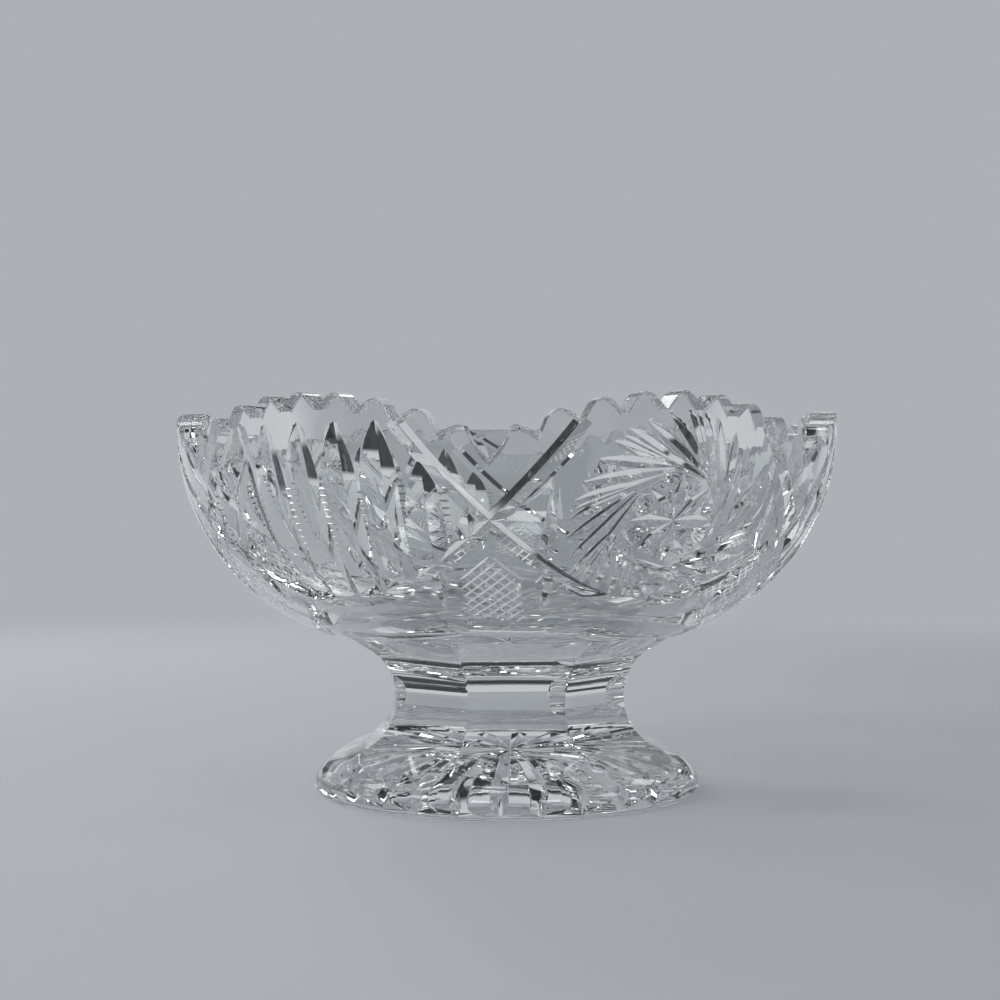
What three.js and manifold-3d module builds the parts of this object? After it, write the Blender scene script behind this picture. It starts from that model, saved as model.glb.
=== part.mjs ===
import * as THREE from 'three';
import { mergeVertices } from 'three/addons/utils/BufferGeometryUtils.js';
import Module from 'manifold-3d';

// Footed cut glass bowl: a thick round bowl, a short eight-sided stem and a round foot, joined hot.
// Millimetres, +Z up, origin on the table under the middle of the foot.
// Azimuth 0 is the front of the bowl, along -Y, and it grows towards +X.

// Heights of the three joined pieces, from the table up
const FOOT_HEIGHT = 18;
const STEM_HEIGHT = 26;
const BOWL_HEIGHT = 73;

// Bowl blank: its side is one arc, upright at a collar below the rim, that ends at a level underside
const RIM_RADIUS = 101.6;
const RIM_COLLAR = 5;
const ARC_RISE = 1;
const UNDERSIDE_RISE = 5;
const RIM_WALL = 8;
const FLOOR_THICKNESS = 12;

// Rim: a shallow scallop over each panel, with notches between rounded teeth
const PANELS = 6;
const TEETH_PER_PANEL = 9;
const SCALLOP_DIP = 12.4;
const NOTCH_DEPTH = 4.9;
const NOTCH_ANGLE = 84;
const NOTCH_SLOPE = 3;
const TOOTH_ROUNDING = 1.7;
const CREST_OVERLAP = 0.6;

// Mitres that outline the panels: each hangs under a panel, crosses its neighbours and ends in a rim notch
const SWAG_LOW = 17;
const SWAG_NOTCHES_OUT = 2;
const SWAG_END_DROP = 5.6;
const SWAG_POWER = 2.1;
const MITRE_DEPTH = 1.75;
const MITRE_ANGLE = 104;

// Leaf cuts beside each crossing, which meet on the mitres
const LEAF_ASIDE_ANGLE = 9.5;
const LEAF_UPPER_LENGTH = 23;
const LEAF_LOWER_LENGTH = 13;
const LEAF_DEPTH = 1.75;
const LEAF_WHEEL_ANGLE = 104;

// Prism panels: upright grooves under the teeth
const PRISM_DROP = 7;
const PRISM_TAPER = 13;
const PRISM_DEPTH = 2.6;
const PRISM_LAND = 0.8;

// Pinwheel panels: a star of rays inside a ring of slanting fans
const WHEEL_DROP = 34;
const WHEEL_ARMS = 8;
const STAR_RADIUS = 14.8;
const STAR_CUT_DEPTH = 1.1;
const STAR_CUT_ANGLE = 122;
const FAN_REACH = 31;
const FAN_CUTS = 4;
const FAN_LEAN = 86;
const FAN_SPREAD = 52;
const FAN_CUT_DEPTH = 1.2;
const FAN_CUT_ANGLE = 110;

// Stem: a waist of flat sides, hollowed by a large wheel
const STEM_SIDES = 8;
const STEM_TURN = 7.5;
const NECK_HALF_WIDTH = 34.9;
const NECK_BAND = 1.5;
const NECK_SHARE = 0.45;
const UPPER_RUN_OUT = 2.7;
const LOWER_RUN_OUT = 5;
const FLARE_ROOT = 1.5;

// Foot: a disc with a round edge, whose top slopes in eight flats, and a rayed star cut underneath
const FOOT_RADIUS = 59.5;
const FOOT_SLOPE = 24;
const FOOT_EDGE_HEIGHT = 2.8;
const FOOT_BASE_INSET = 2;
const FOOT_SHOULDER_INSET = 6.5;
const FOOT_SHOULDER_DROP = 6.9;
const FOOT_SHOULDER_BULGE = 4.2;
const FOOT_CORNER_ROOM = 1;
const BASE_RAYS = 24;
const BASE_RING = 9;
const BASE_RAY_RUN_OUT = 6;
const BASE_HUB_DEPTH = 0.4;
const BASE_RAY_DEPTH = 1.7;
const BASE_RAY_ANGLE = 120;

// Fineness of the facets
const OUTSIDE_SEGMENTS = 72;
const INSIDE_SEGMENTS = 54;
const SIDE_RINGS = 7;
const INSIDE_RINGS = 6;
const HOLLOW_STEPS = 4;
const EDGE_STEPS = 4;
const TOOTH_STEPS = 1;
const SWAG_STEPS = 16;
const PRISM_STEPS = 5;
const WHEEL_STEPS = 2;
const LEAF_STEPS = 2;

// How far a cutting wheel stands out of the glass, and how far a cutter runs past it
const CUT_LIFT = 0.9;
const OVERRUN = 4;

// Values that follow from the sizes above
const stemBase = FOOT_HEIGHT;
const bowlBase = FOOT_HEIGHT + STEM_HEIGHT;
const rimTop = bowlBase + BOWL_HEIGHT;
const panelAngle = 360 / PANELS;
const toothAngle = panelAngle / TEETH_PER_PANEL;
const sideArcRadius = BOWL_HEIGHT - ARC_RISE - RIM_COLLAR;
const undersideHeight = bowlBase + UNDERSIDE_RISE;
const arcHeight = rimTop - RIM_COLLAR;
const arcCentre = RIM_RADIUS - sideArcRadius;
const floorHeight = bowlBase + FLOOR_THICKNESS;
const swagLow = bowlBase + SWAG_LOW;
const swagReach = panelAngle / 2 + SWAG_NOTCHES_OUT * toothAngle;
const swagEnd = rimHeight(panelAngle / 2 + swagReach) - SWAG_END_DROP;
const swagRise = (swagEnd - swagLow) / (swagReach / (panelAngle / 2)) ** SWAG_POWER;
const prismTop = rimTop - PRISM_DROP;
const hubHeight = rimTop - WHEEL_DROP;
const lowerRise = (STEM_HEIGHT - NECK_BAND) * NECK_SHARE;
const upperRise = STEM_HEIGHT - NECK_BAND - lowerRise;
const lowerHollow = lowerRise + LOWER_RUN_OUT;
const upperHollow = upperRise + UPPER_RUN_OUT;
const baseRayReach = FOOT_RADIUS - FOOT_BASE_INSET - BASE_RING;
const cornerStretch = 1 / Math.cos(Math.PI / STEM_SIDES);

const rad = THREE.MathUtils.degToRad;

const wasm = await Module();
wasm.setup();

// Solid of a closed geometry, with its shared corners merged and its empty triangles left out
function solidOf(geometry) {
  const plain = geometry.clone();
  plain.deleteAttribute('normal');
  plain.deleteAttribute('uv');
  const merged = mergeVertices(plain, 1e-4);
  const index = merged.index.array;
  const triangles = [];
  for (let i = 0; i < index.length; i += 3) {
    const [a, b, c] = [index[i], index[i + 1], index[i + 2]];
    if (a !== b && b !== c && c !== a) {
      triangles.push(a, b, c);
    }
  }
  const vertProperties = new Float32Array(merged.attributes.position.array);
  const triVerts = new Uint32Array(triangles);
  return new wasm.Manifold(new wasm.Mesh({ numProp: 3, vertProperties, triVerts }));
}

function geometryOf(solid) {
  const mesh = solid.getMesh();
  const geometry = new THREE.BufferGeometry();
  geometry.setAttribute('position', new THREE.BufferAttribute(new Float32Array(mesh.vertProperties), 3));
  geometry.setIndex(new THREE.BufferAttribute(new Uint32Array(mesh.triVerts), 1));
  geometry.computeVertexNormals();
  return geometry;
}

// Profile points (radius, height) turned about the upright axis
function revolve(profile, segments, start = 0) {
  return new THREE.LatheGeometry(profile, segments, start).rotateX(Math.PI / 2);
}

// Points of an arc in the (radius, height) plane, from one angle to another in degrees
function arcPoints(centre, radius, from, to, steps) {
  const points = [];
  for (let i = 0; i <= steps; i += 1) {
    const angle = rad(from + ((to - from) * i) / steps);
    points.push(new THREE.Vector2(centre.x + radius * Math.cos(angle), centre.y + radius * Math.sin(angle)));
  }
  return points;
}

// Outer side of the bowl

function sideRadius(height) {
  const drop = Math.max(arcHeight - height, 0);
  return arcCentre + Math.sqrt(Math.max(sideArcRadius ** 2 - drop ** 2, 0));
}

// Point and outward normal of the bowl's side at an azimuth in degrees and a height
function onSide(azimuth, height) {
  const radius = sideRadius(height);
  const drop = Math.max(arcHeight - height, 0);
  const out = (radius - arcCentre) / sideArcRadius;
  const sin = Math.sin(rad(azimuth));
  const cos = Math.cos(rad(azimuth));
  return {
    point: new THREE.Vector3(radius * sin, -radius * cos, height),
    normal: new THREE.Vector3(out * sin, -out * cos, -drop / sideArcRadius),
  };
}

// Angle from the middle of the nearest panel, where panel 0 is centred half a panel to the right of the front
function fromPanelMiddle(azimuth) {
  const turned = THREE.MathUtils.euclideanModulo(azimuth, panelAngle);
  return turned - panelAngle / 2;
}

function rimHeight(azimuth) {
  return rimTop - SCALLOP_DIP * (fromPanelMiddle(azimuth) / (panelAngle / 2)) ** 2;
}

// Height of the swag mitre under a panel, at an angle from the panel's middle
function swagHeight(angle) {
  return swagLow + swagRise * (Math.abs(angle) / (panelAngle / 2)) ** SWAG_POWER;
}

// Wheel cuts: a V groove swept along stations, each with a point, a normal and a depth

function wheelCut(stations, angle) {
  const slope = Math.tan(rad(angle / 2));
  const last = stations.length - 1;
  const corners = [];
  stations.forEach(({ point, normal, depth }, i) => {
    const before = stations[Math.max(i - 1, 0)].point;
    const after = stations[Math.min(i + 1, last)].point;
    const along = after.clone().sub(before).normalize();
    const across = along.cross(normal).normalize();
    const half = (CUT_LIFT + depth) * slope;
    const lip = point.clone().addScaledVector(normal, CUT_LIFT);
    corners.push(point.clone().addScaledVector(normal, -depth));
    corners.push(lip.clone().addScaledVector(across, half));
    corners.push(lip.clone().addScaledVector(across, -half));
  });
  const index = [0, 1, 2];
  for (let i = 0; i < last; i += 1) {
    for (let side = 0; side < 3; side += 1) {
      const a = 3 * i + side;
      const b = 3 * i + ((side + 1) % 3);
      index.push(a, a + 3, b, b, a + 3, b + 3);
    }
  }
  index.push(3 * last, 3 * last + 2, 3 * last + 1);
  const geometry = new THREE.BufferGeometry().setFromPoints(corners);
  geometry.setIndex(index);
  return solidOf(geometry);
}

// Stations along a line on the bowl's side, whose depth rises from nothing at each end
function sideStations(steps, place, depthAt) {
  const stations = [];
  for (let i = 0; i <= steps; i += 1) {
    const share = i / steps;
    const { azimuth, height } = place(share);
    stations.push({ ...onSide(azimuth, height), depth: depthAt(share) });
  }
  return stations;
}

// Depth that swells from a point at both ends to the full depth over most of a cut's length
function swelling(depth, run) {
  return (share) => {
    const edge = Math.min(share, 1 - share) / run;
    return (depth + CUT_LIFT / 2) * Math.sin((Math.PI / 2) * Math.min(edge, 1)) - CUT_LIFT / 2;
  };
}

// One mitre under each panel, from a rim notch on its left to the mirrored notch on its right
function swagCuts() {
  const cuts = [];
  for (let panel = 0; panel < PANELS; panel += 1) {
    const middle = (panel + 0.5) * panelAngle;
    const place = (share) => {
      const angle = swagReach * (2 * share - 1);
      return { azimuth: middle + angle, height: swagHeight(angle) };
    };
    cuts.push(wheelCut(sideStations(SWAG_STEPS, place, () => MITRE_DEPTH), MITRE_ANGLE));
  }
  return cuts;
}

// Upright leaves on both sides of a crossing, above and below the mitre that they meet on
function leafCuts(crossing) {
  const cuts = [];
  const meeting = swagHeight(panelAngle / 2 - LEAF_ASIDE_ANGLE);
  [-1, 1].forEach((side) => {
    const azimuth = crossing + side * LEAF_ASIDE_ANGLE;
    [LEAF_UPPER_LENGTH, -LEAF_LOWER_LENGTH].forEach((length) => {
      const place = (share) => ({ azimuth, height: meeting + length * share });
      cuts.push(wheelCut(sideStations(LEAF_STEPS, place, swelling(LEAF_DEPTH, 0.5)), LEAF_WHEEL_ANGLE));
    });
  });
  return cuts;
}

// Upright grooves, one under each tooth of a panel, between the panel's own swag and its neighbours'
function prismCuts(middle) {
  const cuts = [];
  const most = (TEETH_PER_PANEL - 1) / 2;
  for (let tooth = -most; tooth <= most; tooth += 1) {
    const angle = tooth * toothAngle;
    const low = swagHeight(angle);
    const high = Math.min(prismTop, swagHeight(panelAngle - Math.abs(angle)));
    const place = (share) => ({ azimuth: middle + angle, height: low + (high - low) * share });
    const depthAt = (share) => {
      const below = (high - low) * (1 - share);
      return (PRISM_DEPTH + CUT_LIFT / 2) * Math.min(below / PRISM_TAPER, 1) - CUT_LIFT / 2;
    };
    const halfPitch = (sideRadius(arcHeight) * rad(toothAngle)) / 2 - PRISM_LAND / 2;
    const angleOfWheel = 2 * THREE.MathUtils.radToDeg(Math.atan(halfPitch / PRISM_DEPTH));
    cuts.push(wheelCut(sideStations(PRISM_STEPS, place, depthAt), angleOfWheel));
  }
  return cuts;
}

// Place on the bowl's side at a distance across and up from the middle of a pinwheel
function onWheel(middle, across, up) {
  const hubDrop = Math.asin((arcHeight - hubHeight) / sideArcRadius);
  const drop = hubDrop - up / sideArcRadius;
  const height = drop > 0 ? arcHeight - sideArcRadius * Math.sin(drop) : arcHeight - sideArcRadius * drop;
  const turn = THREE.MathUtils.radToDeg(across / sideRadius(height));
  return { azimuth: middle + turn, height };
}

// Rays of the star and the fans that slant off their tips, all turning the same way
function pinwheelCuts(middle) {
  const cuts = [];
  const line = (from, to, depthAt, angle) => {
    const place = (share) => {
      const spot = from.clone().lerp(to, share);
      return onWheel(middle, spot.x, spot.y);
    };
    cuts.push(wheelCut(sideStations(WHEEL_STEPS, place, depthAt), angle));
  };
  const hub = new THREE.Vector2();
  const polar = (radius, degrees) => new THREE.Vector2(radius, 0).rotateAround(hub, rad(degrees));
  for (let arm = 0; arm < WHEEL_ARMS; arm += 1) {
    const bearing = (360 / WHEEL_ARMS) * arm;
    const tip = polar(STAR_RADIUS, bearing);
    line(polar(STAR_CUT_DEPTH, bearing), tip, swelling(STAR_CUT_DEPTH, 0.4), STAR_CUT_ANGLE);
    for (let cut = 0; cut < FAN_CUTS; cut += 1) {
      const lean = FAN_LEAN + FAN_SPREAD * (cut / (FAN_CUTS - 1) - 0.5);
      const heading = polar(1, bearing + lean);
      const along = tip.dot(heading);
      const length = Math.sqrt(along ** 2 + FAN_REACH ** 2 - STAR_RADIUS ** 2) - along;
      const end = tip.clone().addScaledVector(heading, length);
      line(tip, end, swelling(FAN_CUT_DEPTH, 0.55), FAN_CUT_ANGLE);
    }
  }
  return cuts;
}

// Notches right through the rim, square to the scallop's own slope and falling outwards
function notchCuts() {
  const pitch = RIM_RADIUS * rad(toothAngle);
  const half = pitch / 2 + CREST_OVERLAP;
  const straight = NOTCH_DEPTH - TOOTH_ROUNDING;
  const aside = straight * Math.tan(rad(NOTCH_ANGLE / 2));
  const shape = new THREE.Shape();
  shape.moveTo(0, -NOTCH_DEPTH);
  shape.lineTo(aside, -TOOTH_ROUNDING);
  shape.quadraticCurveTo(aside + TOOTH_ROUNDING, 0, half, 0);
  shape.lineTo(half, SCALLOP_DIP);
  shape.lineTo(-half, SCALLOP_DIP);
  shape.lineTo(-half, 0);
  shape.quadraticCurveTo(-aside - TOOTH_ROUNDING, 0, -aside, -TOOTH_ROUNDING);
  const depth = RIM_WALL + 2 * OVERRUN;
  const bar = new THREE.ExtrudeGeometry(shape, { depth, bevelEnabled: false, curveSegments: TOOTH_STEPS });
  const cuts = [];
  for (let notch = 0; notch < PANELS * TEETH_PER_PANEL; notch += 1) {
    const azimuth = notch * toothAngle;
    const rise = rimHeight(azimuth + toothAngle / 2) - rimHeight(azimuth - toothAngle / 2);
    const tilt = Math.atan(rise / pitch);
    const tangent = new THREE.Vector3(Math.cos(rad(azimuth)), Math.sin(rad(azimuth)), 0);
    const radial = new THREE.Vector3(Math.sin(rad(azimuth)), -Math.cos(rad(azimuth)), 0);
    const up = new THREE.Vector3(0, 0, 1);
    const place = new THREE.Matrix4().makeBasis(tangent, up, radial);
    const start = rimHeight(azimuth) + OVERRUN * Math.tan(rad(NOTCH_SLOPE));
    place.setPosition(radial.clone().multiplyScalar(RIM_RADIUS - RIM_WALL - OVERRUN).setZ(start));
    place.multiply(new THREE.Matrix4().makeRotationX(rad(NOTCH_SLOPE)));
    place.multiply(new THREE.Matrix4().makeRotationZ(tilt));
    cuts.push(solidOf(bar.clone().applyMatrix4(place)));
  }
  return cuts;
}

// Flat-sided forms of the stem, which run on under the bowl and over the foot

function flatSided(profile) {
  const corners = profile.map((p) => new THREE.Vector2(p.x * cornerStretch, p.y));
  return revolve(corners, STEM_SIDES, rad(STEM_TURN + 180 / STEM_SIDES));
}

// Slope of a hollow in degrees from upright, at a rise above or below the neck
function slopeAt(rise, radius) {
  return THREE.MathUtils.radToDeg(Math.asin(rise / radius));
}

// Arc of the hollow above the neck, between two slopes
function upperArc(from, to, steps) {
  const centre = new THREE.Vector2(NECK_HALF_WIDTH + upperHollow, bowlBase - upperRise);
  return arcPoints(centre, upperHollow, 180 - from, 180 - to, steps);
}

// Arc of the hollow below the neck, between two slopes
function lowerArc(from, to, steps) {
  const centre = new THREE.Vector2(NECK_HALF_WIDTH + lowerHollow, stemBase + lowerRise);
  return arcPoints(centre, lowerHollow, 180 + from, 180 + to, steps);
}

// Flare that carries the stem's flats on, straight, into the underside of the bowl
function flare() {
  const slope = slopeAt(upperRise, upperHollow);
  const [joint] = upperArc(slope, 0, 1);
  const top = undersideHeight + FLARE_ROOT;
  const root = new THREE.Vector2(joint.x + (top - bowlBase) * Math.tan(rad(slope)), top);
  return flatSided([new THREE.Vector2(0, bowlBase), joint, root, new THREE.Vector2(0, top)]);
}

// Everything that the hollows leave below the joint with the foot
function belowHollows() {
  const joint = slopeAt(lowerRise, lowerHollow);
  const arc = lowerArc(90 - FOOT_SLOPE, joint, EDGE_STEPS);
  const out = FOOT_RADIUS + OVERRUN;
  const rim = arc[0].y - (out - arc[0].x) * Math.tan(rad(FOOT_SLOPE));
  const start = [[0, -OVERRUN], [out, -OVERRUN], [out, rim]].map(([x, y]) => new THREE.Vector2(x, y));
  return flatSided([...start, ...arc, new THREE.Vector2(0, stemBase)]);
}

// Pieces

function bowlBlank() {
  const lowest = Math.asin((undersideHeight - arcHeight) / sideArcRadius);
  const centre = new THREE.Vector2(arcCentre, arcHeight);
  const arc = arcPoints(centre, sideArcRadius, THREE.MathUtils.radToDeg(lowest), 0, SIDE_RINGS);
  const end = [new THREE.Vector2(RIM_RADIUS, rimTop), new THREE.Vector2(0, rimTop)];
  const blank = revolve([new THREE.Vector2(0, undersideHeight), ...arc, ...end], OUTSIDE_SEGMENTS);
  const low = swagLow;
  const position = blank.attributes.position;
  for (let i = 0; i < position.count; i += 1) {
    const [x, y, z] = [position.getX(i), position.getY(i), position.getZ(i)];
    const radius = Math.hypot(x, y);
    if (z > low && radius > 1) {
      const azimuth = THREE.MathUtils.radToDeg(Math.atan2(x, -y));
      const height = low + ((z - low) * (rimHeight(azimuth) - low)) / (rimTop - low);
      const stretch = sideRadius(height) / radius;
      position.setXYZ(i, x * stretch, y * stretch, height);
    }
  }
  return blank;
}

function cavity() {
  const inside = RIM_RADIUS - RIM_WALL;
  const radius = arcHeight - floorHeight;
  const arc = arcPoints(new THREE.Vector2(inside - radius, arcHeight), radius, -90, 0, INSIDE_RINGS);
  const top = rimTop + OVERRUN;
  const end = [new THREE.Vector2(inside, top), new THREE.Vector2(0, top)];
  return revolve([new THREE.Vector2(0, floorHeight), ...arc, ...end], INSIDE_SEGMENTS);
}

function bowlSolid() {
  let bowl = solidOf(bowlBlank()).add(solidOf(flare())).subtract(solidOf(cavity()));
  const cuts = [...notchCuts(), ...swagCuts()];
  for (let panel = 0; panel < PANELS; panel += 1) {
    const middle = (panel + 0.5) * panelAngle;
    const panelCuts = panel % 2 === 0 ? pinwheelCuts(middle) : prismCuts(middle);
    cuts.push(...panelCuts, ...leafCuts(panel * panelAngle));
  }
  cuts.forEach((cut) => {
    bowl = bowl.subtract(cut);
  });
  return bowl;
}

function stemGeometry() {
  const lower = lowerArc(slopeAt(lowerRise, lowerHollow), 0, HOLLOW_STEPS);
  const upper = upperArc(0, slopeAt(upperRise, upperHollow), HOLLOW_STEPS);
  const ends = [new THREE.Vector2(0, stemBase), new THREE.Vector2(0, bowlBase)];
  return flatSided([ends[0], ...lower, ...upper, ends[1]]);
}

function footBlank() {
  const edge = new THREE.Path();
  edge.moveTo(FOOT_RADIUS - FOOT_BASE_INSET, 0);
  edge.quadraticCurveTo(FOOT_RADIUS, 0, FOOT_RADIUS, FOOT_EDGE_HEIGHT);
  const shoulder = FOOT_RADIUS - FOOT_SHOULDER_INSET;
  const bulge = FOOT_EDGE_HEIGHT + FOOT_SHOULDER_BULGE;
  edge.quadraticCurveTo(FOOT_RADIUS, bulge, shoulder, FOOT_HEIGHT - FOOT_SHOULDER_DROP);
  const [joint] = lowerArc(slopeAt(lowerRise, lowerHollow), 0, 1);
  const corner = joint.x * cornerStretch + FOOT_CORNER_ROOM;
  const top = [new THREE.Vector2(corner, FOOT_HEIGHT), new THREE.Vector2(0, FOOT_HEIGHT)];
  const profile = [new THREE.Vector2(0, 0), ...edge.getPoints(EDGE_STEPS), ...top];
  return revolve(profile, INSIDE_SEGMENTS);
}

function footSolid() {
  let foot = solidOf(footBlank()).intersect(solidOf(belowHollows()));
  const down = new THREE.Vector3(0, 0, -1);
  for (let ray = 0; ray < BASE_RAYS; ray += 1) {
    const bearing = rad((360 / BASE_RAYS) * ray);
    const way = new THREE.Vector3(Math.sin(bearing), -Math.cos(bearing), 0);
    const at = (radius, depth) => ({ point: way.clone().multiplyScalar(radius), normal: down, depth });
    const deepest = baseRayReach - BASE_RAY_RUN_OUT;
    const stations = [at(0, BASE_HUB_DEPTH), at(deepest, BASE_RAY_DEPTH), at(baseRayReach, -CUT_LIFT / 2)];
    foot = foot.subtract(wheelCut(stations, BASE_RAY_ANGLE));
  }
  return foot;
}

function glass(name, geometry) {
  const material = new THREE.MeshStandardMaterial({
    color: 0xe6ebee,
    roughness: 0.04,
    metalness: 0,
    transparent: true,
    opacity: 0.4,
  });
  const mesh = new THREE.Mesh(geometry, material);
  mesh.name = name;
  return mesh;
}

const footedBowl = new THREE.Group();
footedBowl.add(glass('bowl', geometryOf(bowlSolid())));
footedBowl.add(glass('stem', stemGeometry()));
footedBowl.add(glass('foot', geometryOf(footSolid())));

export default footedBowl;
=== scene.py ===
import math

import bmesh
import bpy
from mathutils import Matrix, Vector

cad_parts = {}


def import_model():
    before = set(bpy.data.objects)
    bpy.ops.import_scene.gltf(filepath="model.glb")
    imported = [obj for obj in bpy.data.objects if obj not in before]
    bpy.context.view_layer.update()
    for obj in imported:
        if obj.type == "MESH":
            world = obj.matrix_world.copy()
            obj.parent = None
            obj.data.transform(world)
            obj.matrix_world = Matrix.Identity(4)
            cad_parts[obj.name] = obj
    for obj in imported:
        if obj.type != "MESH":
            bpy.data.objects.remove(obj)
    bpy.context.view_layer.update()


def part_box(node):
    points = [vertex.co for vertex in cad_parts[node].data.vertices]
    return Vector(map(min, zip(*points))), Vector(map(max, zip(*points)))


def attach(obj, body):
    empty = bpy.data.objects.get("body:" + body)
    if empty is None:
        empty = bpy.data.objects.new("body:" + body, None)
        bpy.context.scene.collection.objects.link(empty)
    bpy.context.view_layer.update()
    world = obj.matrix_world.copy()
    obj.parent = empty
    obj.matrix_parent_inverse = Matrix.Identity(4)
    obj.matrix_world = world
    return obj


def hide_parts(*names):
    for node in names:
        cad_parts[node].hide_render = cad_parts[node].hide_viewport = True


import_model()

# Footed cut glass bowl: bowl, stem and foot joined hot, with every cut of the pattern as real facets.
# Metres and degrees, +Z up. Azimuth 0 is the front, along -Y, and it grows towards +X.

MM = 0.001

# Main sizes, from the frame
bowl_low, bowl_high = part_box("bowl")
foot_low, foot_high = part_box("foot")
CREST_SHORTFALL = 0.37 * MM  # how far the frame's faceted crests stay under the curve of the rim
RIM_RADIUS = bowl_high[0]
RIM_TOP = bowl_high[2] + CREST_SHORTFALL
BOWL_BASE = bowl_low[2]
FOOT_TOP = foot_high[2]
FOOT_RADIUS = -foot_low[1]

# Bowl blank
SIDE_ARC_RADIUS = 67 * MM
ARC_RISE = 1 * MM
UNDERSIDE_RISE = 5 * MM
RIM_WALL = 8 * MM
FLOOR_THICKNESS = 12 * MM

# Rim
PANELS = 6
TEETH_PER_PANEL = 9
SCALLOP_DIP = 12.4 * MM
NOTCH_DEPTH = 4.8 * MM
CROSSING_NOTCH_DEPTH = 5.9 * MM
NOTCH_ANGLE = 84
CREST_FALL = 0.3 * MM
NOTCH_FALL = 0.4 * MM
TOOTH_CORNER_SHARE = 0.9
TOOTH_WALL_SHARE = 0.45
RIM_EDGE = 0.6 * MM
RIM_EDGE_TURN = 72

# Mitres that outline the panels, and leaves beside their crossings
SWAG_LOW = 17 * MM
SWAG_CROSSING = 38.5 * MM
SWAG_POWER = 2.1
SWAG_TEETH_PAST_CROSSING = 2.1
MITRE_DEPTH = 1.75 * MM
MITRE_ANGLE = 104
LEAF_ASIDE_ANGLE = 9.5
LEAF_UPPER_LENGTH = 23 * MM
LEAF_LOWER_LENGTH = 13 * MM
LEAF_DEPTH = 2.2 * MM
LEAF_WIDEST = 0.2
LEAF_ANGLE = 104

# Prism panels
PRISM_TOP = 66 * MM
PRISM_TAPER = 18 * MM
PRISM_DEPTH = 2.6 * MM
PRISM_LAND = 0.5 * MM
RIDGE_NOTCH_PITCH = 2 * MM
RIDGE_NOTCH_DEPTH = 0.32 * MM
RIDGE_NOTCH_HALF = 1.3 * MM
RIDGE_NOTCH_ANGLE = 90

# Pinwheel panels
WHEEL_HEIGHT = 39 * MM
WHEEL_ARMS = 8
STAR_RADIUS = 14.8 * MM
STAR_HUB_DEPTH = 0.3 * MM
STAR_CUT_DEPTH = 1.1 * MM
STAR_CUT_ANGLE = 122
STAR_WIDEST = 0.5
LITTLE_FAN_CUTS = 4
LITTLE_FAN_START = 7.5 * MM
LITTLE_FAN_END = 13 * MM
LITTLE_FAN_SPREAD = 22
LITTLE_FAN_START_SHARE = 0.3
LITTLE_FAN_DEPTH = 0.35 * MM
LITTLE_FAN_RUN = 0.5
LITTLE_FAN_ANGLE = 100
FAN_REACH = 31 * MM
FAN_CUTS = 5
FAN_LEAN = 86
FAN_SPREAD = 52
FAN_CUT_DEPTH = 0.95 * MM
FAN_CUT_RUN = 0.4
FAN_CUT_ANGLE = 114

# Hatched fields under the crossings
HATCH_PITCH = 2.5 * MM
HATCH_LINES_ASIDE = 18
HATCH_LEANS = (45, 135)
HATCH_DEPTH = 0.3 * MM
HATCH_RUN = 0.15
HATCH_ANGLE = 90
HATCH_HALF_WIDTH = 9.2 * MM
HATCH_SHOULDER = 24.5 * MM
HATCH_RISE = 8 * MM
HATCH_FALL = 18 * MM
HATCH_CORNER_SHARE = 0.92
HATCH_LEAST_GAP = HATCH_DEPTH / 20
HATCH_MOST_GAP = 2 * HATCH_DEPTH

# Stem
STEM_SIDES = 8
STEM_TURN = 7.5
NECK_HALF_WIDTH = 34.9 * MM
NECK_BAND = 1.5 * MM
NECK_SHARE = 0.45
UPPER_RUN_OUT = 2.7 * MM
LOWER_RUN_OUT = 5 * MM
FLARE_ROOT = 1.5 * MM
STEM_EDGE = 0.4 * MM

# Foot
FOOT_SLOPE = 24
FOOT_EDGE_HEIGHT = 2.8 * MM
FOOT_BASE_INSET = 2 * MM
FOOT_SHOULDER_INSET = 6.5 * MM
FOOT_SHOULDER_DROP = 6.9 * MM
FOOT_SHOULDER_BULGE = 4.2 * MM
FOOT_CORNER_ROOM = 1 * MM
BASE_RAYS = 24
BASE_RING = 9 * MM
BASE_RAY_RUN_OUT = 6 * MM
BASE_HUB_DEPTH = 0.4 * MM
BASE_RAY_DEPTH = 1.7 * MM
BASE_RAY_ANGLE = 110

# Cutters: how far they reach over the surface, where they leave it, and how they ease the lips of a cut
CUT_LIFT = 0.7 * MM
TIP_LIFT = 0.45 * CUT_LIFT
END_LIFT = 0.5 * CUT_LIFT
EASED_EDGE = 0.1 * MM
EASED_TIP = EASED_EDGE / 10
OVERRUN = 4 * MM

# Fineness
OUTSIDE_SEGMENTS = 432
INSIDE_SEGMENTS = 288
SIDE_RINGS = 44
INSIDE_RINGS = 36
TOOTH_STEPS = 7
RIM_EDGE_STEPS = 4
SWAG_STEPS = 96
LEAF_STEPS = 15
PRISM_STEPS = 24
RIDGE_NOTCH_STEPS = 2
STAR_STEPS = 12
LITTLE_FAN_STEPS = 4
FAN_STEPS = 10
HATCH_STEPS = 6
STEM_ARC_STEPS = 24
FOOT_EDGE_STEPS = 10
FOOT_SHOULDER_STEPS = 20
SHARP_ANGLE = 19.4
NORMAL_WEIGHT = 90

# Tolerances, and a distance past any field
TINY = 1e-9
FAR = 1
SAME_ANGLE = 1e-6
TANGENT_STEP = 0.01
SAME_HEIGHT = 0.01 * MM
LEVEL = 0.999

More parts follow.
